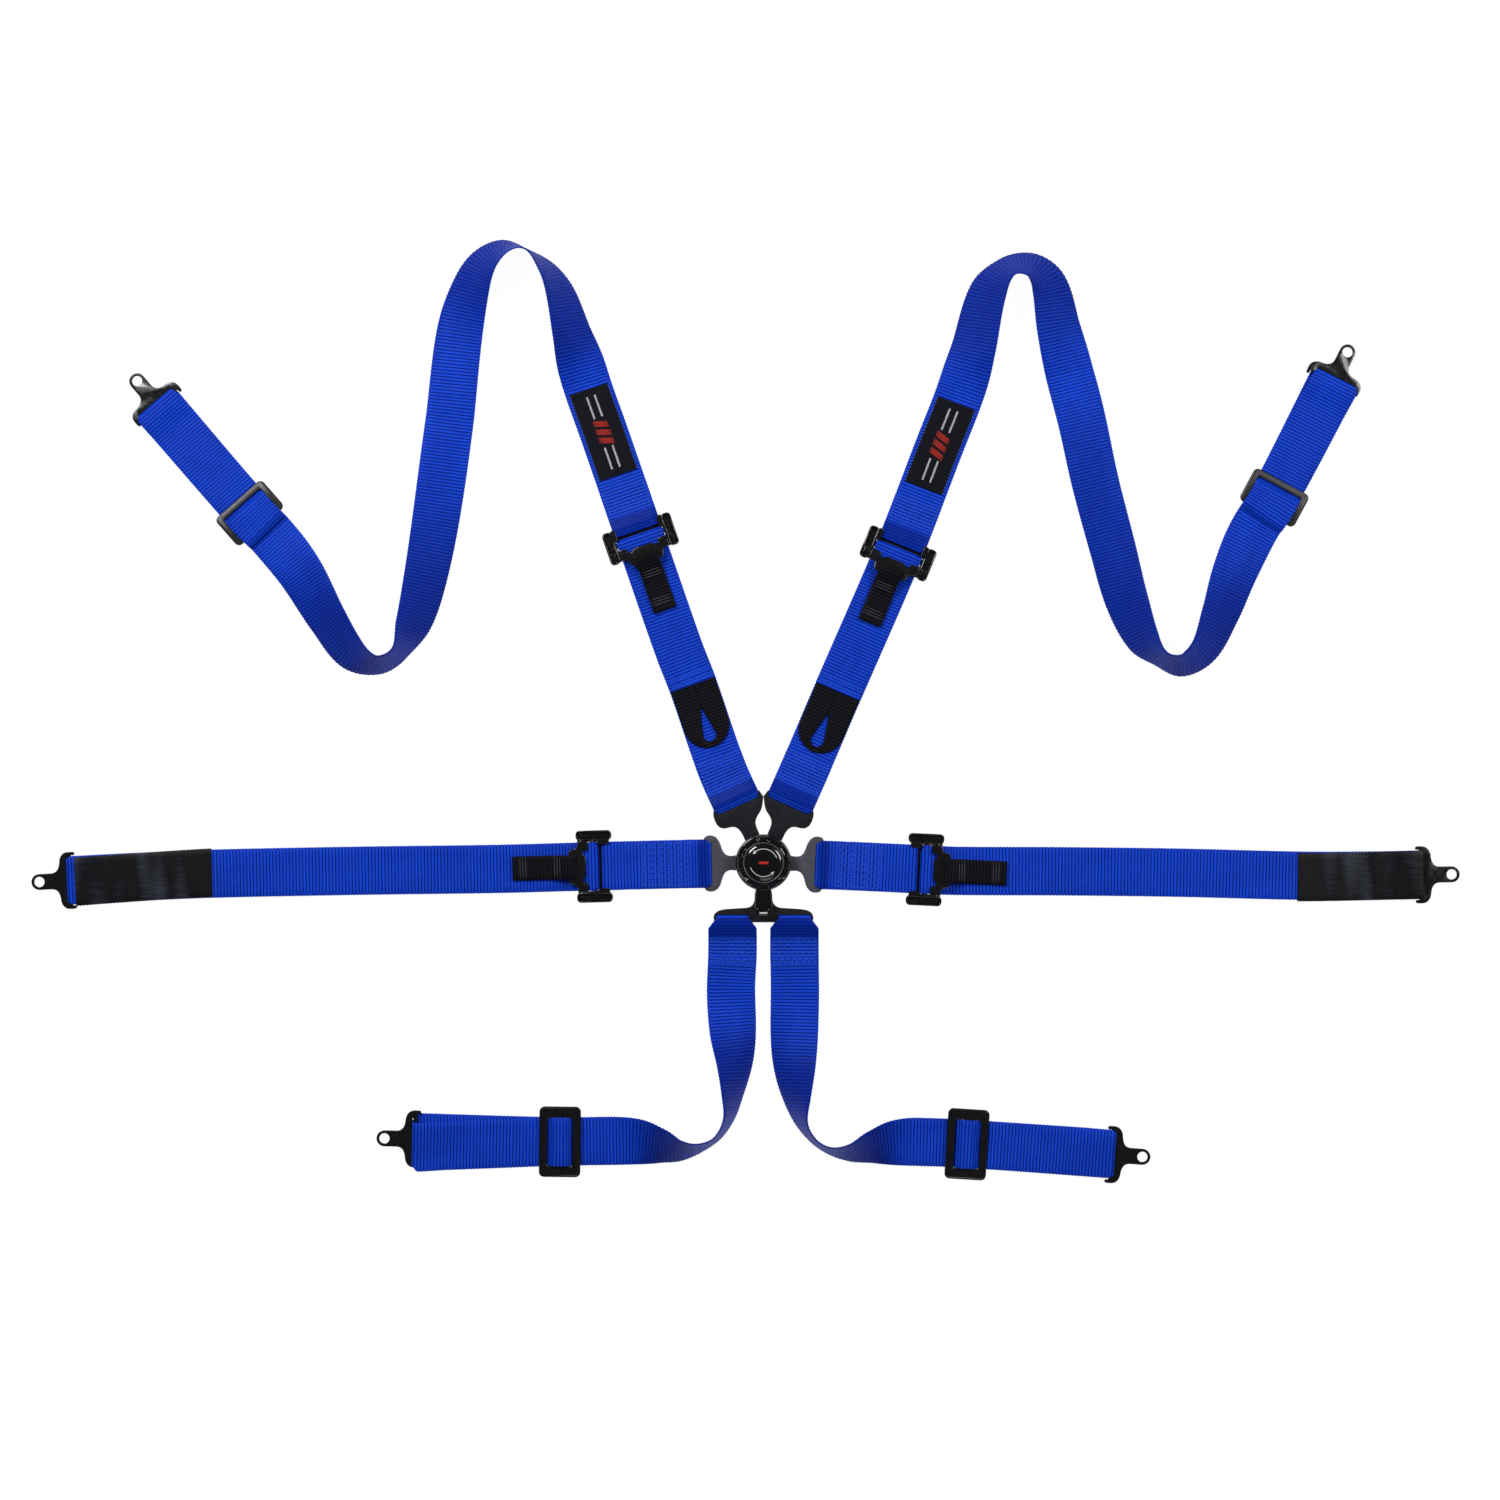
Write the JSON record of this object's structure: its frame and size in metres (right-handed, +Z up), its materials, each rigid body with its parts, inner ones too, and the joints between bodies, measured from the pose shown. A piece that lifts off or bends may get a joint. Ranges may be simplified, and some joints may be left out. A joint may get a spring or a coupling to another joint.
{
  "type": "racing harness",
  "caption": "Cam-lock racing harness laid flat: shoulder, lap and crotch belts of ribbed webbing on a round turn-release buckle, with adjusters, slides and bolt-in anchor plates.",
  "frame": {"origin": "the buckle's axis at the flat back of its base, on the floor", "axes": "+X along the lap belts to the right, +Y towards the shoulder belts, +Z up out of the dial"},
  "size_m": [1.4736, 0.9741, 0.0498],
  "materials": {
    "blue_webbing": "royal-blue ribbed polyester webbing, low sheen",
    "black_webbing": "black ribbed webbing",
    "woven_label": "black woven patch with plain stripes",
    "satin_strip": "smooth black tape with a satin gleam",
    "black_enamel": "gloss black enamel on pressed steel",
    "grey_steel": "satin gunmetal plating",
    "slider_steel": "dark grey plated steel",
    "bare_steel": "bare steel",
    "gloss_black": "gloss black, domed cap"
  },
  "bodies": {
    "root": {"left_lap_tongue": "grey_steel", "left_lap_inner_strap": "blue_webbing", "left_lap_adjuster_frame": "black_enamel", "left_lap_outer_strap": "blue_webbing", "left_lap_wear_strip": "satin_strip", "buckle_base": "black_enamel", "buckle_cover": "black_enamel", "spindle": "bare_steel", "return_spring": "bare_steel"},
    "release_dial": {"release_dial": "gloss_black", "dial_cap": "gloss_black", "cam_plate": "bare_steel"},
    "left_shoulder_latch_pin": {"left_shoulder_latch_pin": "bare_steel"},
    "right_shoulder_latch_pin": {"right_shoulder_latch_pin": "bare_steel"},
    "left_lap_latch_pin": {"left_lap_latch_pin": "bare_steel"},
    "right_lap_latch_pin": {"right_lap_latch_pin": "bare_steel"},
    "crotch_latch_pin": {"crotch_latch_pin": "bare_steel"},
    "left_shoulder_belt": {"left_shoulder_tongue": "black_enamel", "left_shoulder_lower_strap": "blue_webbing", "left_shoulder_pull_loop": "black_webbing", "left_shoulder_adjuster_frame": "black_enamel", "left_shoulder_upper_strap": "blue_webbing", "left_shoulder_label": "woven_label", "left_shoulder_slider": "slider_steel"},
    "right_shoulder_belt": {"right_shoulder_tongue": "black_enamel", "right_shoulder_lower_strap": "blue_webbing", "right_shoulder_pull_loop": "black_webbing", "right_shoulder_adjuster_frame": "black_enamel", "right_shoulder_upper_strap": "blue_webbing", "right_shoulder_label": "woven_label", "right_shoulder_slider": "slider_steel"},
    "right_lap_belt": {"right_lap_tongue": "grey_steel", "right_lap_inner_strap": "blue_webbing", "right_lap_adjuster_frame": "black_enamel", "right_lap_outer_strap": "blue_webbing", "right_lap_wear_strip": "satin_strip"},
    "crotch_belt": {"crotch_tongue": "black_enamel", "left_crotch_strap": "blue_webbing", "left_crotch_slider": "black_enamel", "right_crotch_strap": "blue_webbing", "right_crotch_slider": "black_enamel"},
    "left_shoulder_lock_lever": {"left_shoulder_lock_lever": "black_enamel", "left_shoulder_pull_tab": "black_webbing"},
    "left_shoulder_anchor_plate": {"left_shoulder_anchor_plate": "black_enamel"},
    "right_shoulder_lock_lever": {"right_shoulder_lock_lever": "black_enamel", "right_shoulder_pull_tab": "black_webbing"},
    "right_shoulder_anchor_plate": {"right_shoulder_anchor_plate": "black_enamel"},
    "left_lap_lock_lever": {"left_lap_lock_lever": "black_enamel", "left_lap_pull_tab": "black_webbing"},
    "left_lap_anchor_plate": {"left_lap_anchor_plate": "black_enamel"},
    "right_lap_lock_lever": {"right_lap_lock_lever": "black_enamel", "right_lap_pull_tab": "black_webbing"},
    "right_lap_anchor_plate": {"right_lap_anchor_plate": "black_enamel"},
    "left_crotch_anchor_plate": {"left_crotch_anchor_plate": "black_enamel"},
    "right_crotch_anchor_plate": {"right_crotch_anchor_plate": "black_enamel"}
  },
  "joints": [
    {"name": "dial_turn", "type": "hinge", "parent": "root", "child": "release_dial", "pos_m": [0, 0, 0.02], "axis": [0, 0, 1], "range_deg": [0, 40], "stiffness_Nm_per_rad": 0.4, "springref_deg": -8.59},
    {"name": "left_shoulder_latch_lift", "type": "slide", "parent": "root", "child": "left_shoulder_latch_pin", "axis": [0, 0, 1], "range_m": [0, 0.0036]},
    {"name": "right_shoulder_latch_lift", "type": "slide", "parent": "root", "child": "right_shoulder_latch_pin", "axis": [0, 0, 1], "range_m": [0, 0.0036]},
    {"name": "left_lap_latch_lift", "type": "slide", "parent": "root", "child": "left_lap_latch_pin", "axis": [0, 0, 1], "range_m": [0, 0.0036]},
    {"name": "right_lap_latch_lift", "type": "slide", "parent": "root", "child": "right_lap_latch_pin", "axis": [0, 0, 1], "range_m": [0, 0.0036]},
    {"name": "crotch_latch_lift", "type": "slide", "parent": "root", "child": "crotch_latch_pin", "axis": [0, 0, 1], "range_m": [0, 0.0036]},
    {"name": "left_shoulder_tongue_pull", "type": "slide", "parent": "root", "child": "left_shoulder_belt", "axis": [-0.4067, 0.9135, 0], "range_m": [0, 0.03]},
    {"name": "right_shoulder_tongue_pull", "type": "slide", "parent": "root", "child": "right_shoulder_belt", "axis": [0.4067, 0.9135, 0], "range_m": [0, 0.03]},
    {"name": "right_lap_tongue_pull", "type": "slide", "parent": "root", "child": "right_lap_belt", "axis": [0.999, -0.0454, 0], "range_m": [0, 0.03]},
    {"name": "crotch_tongue_pull", "type": "slide", "parent": "root", "child": "crotch_belt", "axis": [0, -1, 0], "range_m": [0, 0.03]},
    {"name": "left_shoulder_lever_lift", "type": "hinge", "parent": "left_shoulder_belt", "child": "left_shoulder_lock_lever", "pos_m": [-0.127, 0.334, 0.0048], "axis": [-0.9449, -0.3274, 0], "range_deg": [0, 60]},
    {"name": "left_shoulder_anchor_swing", "type": "hinge", "parent": "left_shoulder_belt", "child": "left_shoulder_anchor_plate", "pos_m": [-0.62541, 0.47196, 0.004], "axis": [0.7613, 0.6485, 0], "range_deg": [0, 70]},
    {"name": "right_shoulder_lever_lift", "type": "hinge", "parent": "right_shoulder_belt", "child": "right_shoulder_lock_lever", "pos_m": [0.139, 0.319, 0.0048], "axis": [-0.9241, 0.3821, 0], "range_deg": [0, 60]},
    {"name": "right_shoulder_anchor_swing", "type": "hinge", "parent": "right_shoulder_belt", "child": "right_shoulder_anchor_plate", "pos_m": [0.5882, 0.49743, 0.004], "axis": [0.8932, -0.4497, 0], "range_deg": [0, 70]},
    {"name": "left_lap_lever_lift", "type": "hinge", "parent": "root", "child": "left_lap_lock_lever", "pos_m": [-0.175, -0.0043, 0.0048], "axis": [-0.0267, 0.9996, 0], "range_deg": [0, 60]},
    {"name": "left_lap_anchor_swing", "type": "hinge", "parent": "root", "child": "left_lap_anchor_plate", "pos_m": [-0.71501, -0.0188, 0.004], "axis": [-0.0507, 0.9987, 0], "range_deg": [0, 70]},
    {"name": "right_lap_lever_lift", "type": "hinge", "parent": "right_lap_belt", "child": "right_lap_lock_lever", "pos_m": [0.167, -0.0076, 0.0048], "axis": [-0.0461, -0.9989, 0], "range_deg": [0, 60]},
    {"name": "right_lap_anchor_swing", "type": "hinge", "parent": "right_lap_belt", "child": "right_lap_anchor_plate", "pos_m": [0.678, -0.01307, 0.004], "axis": [0.0165, -0.9999, 0], "range_deg": [0, 70]},
    {"name": "left_crotch_anchor_swing", "type": "hinge", "parent": "crotch_belt", "child": "left_crotch_anchor_plate", "pos_m": [-0.359, -0.28558, 0.004], "axis": [0.0197, 0.9998, 0], "range_deg": [0, 70]},
    {"name": "right_crotch_anchor_swing", "type": "hinge", "parent": "crotch_belt", "child": "right_crotch_anchor_plate", "pos_m": [0.35901, -0.30171, 0.004], "axis": [-0.0719, -0.9974, 0], "range_deg": [0, 70]}
  ],
  "couplings": [
    {"joint": "left_shoulder_latch_lift", "follows": "dial_turn", "m_per_rad": 0.005},
    {"joint": "right_shoulder_latch_lift", "follows": "dial_turn", "m_per_rad": 0.005},
    {"joint": "left_lap_latch_lift", "follows": "dial_turn", "m_per_rad": 0.005},
    {"joint": "right_lap_latch_lift", "follows": "dial_turn", "m_per_rad": 0.005},
    {"joint": "crotch_latch_lift", "follows": "dial_turn", "m_per_rad": 0.005}
  ]
}
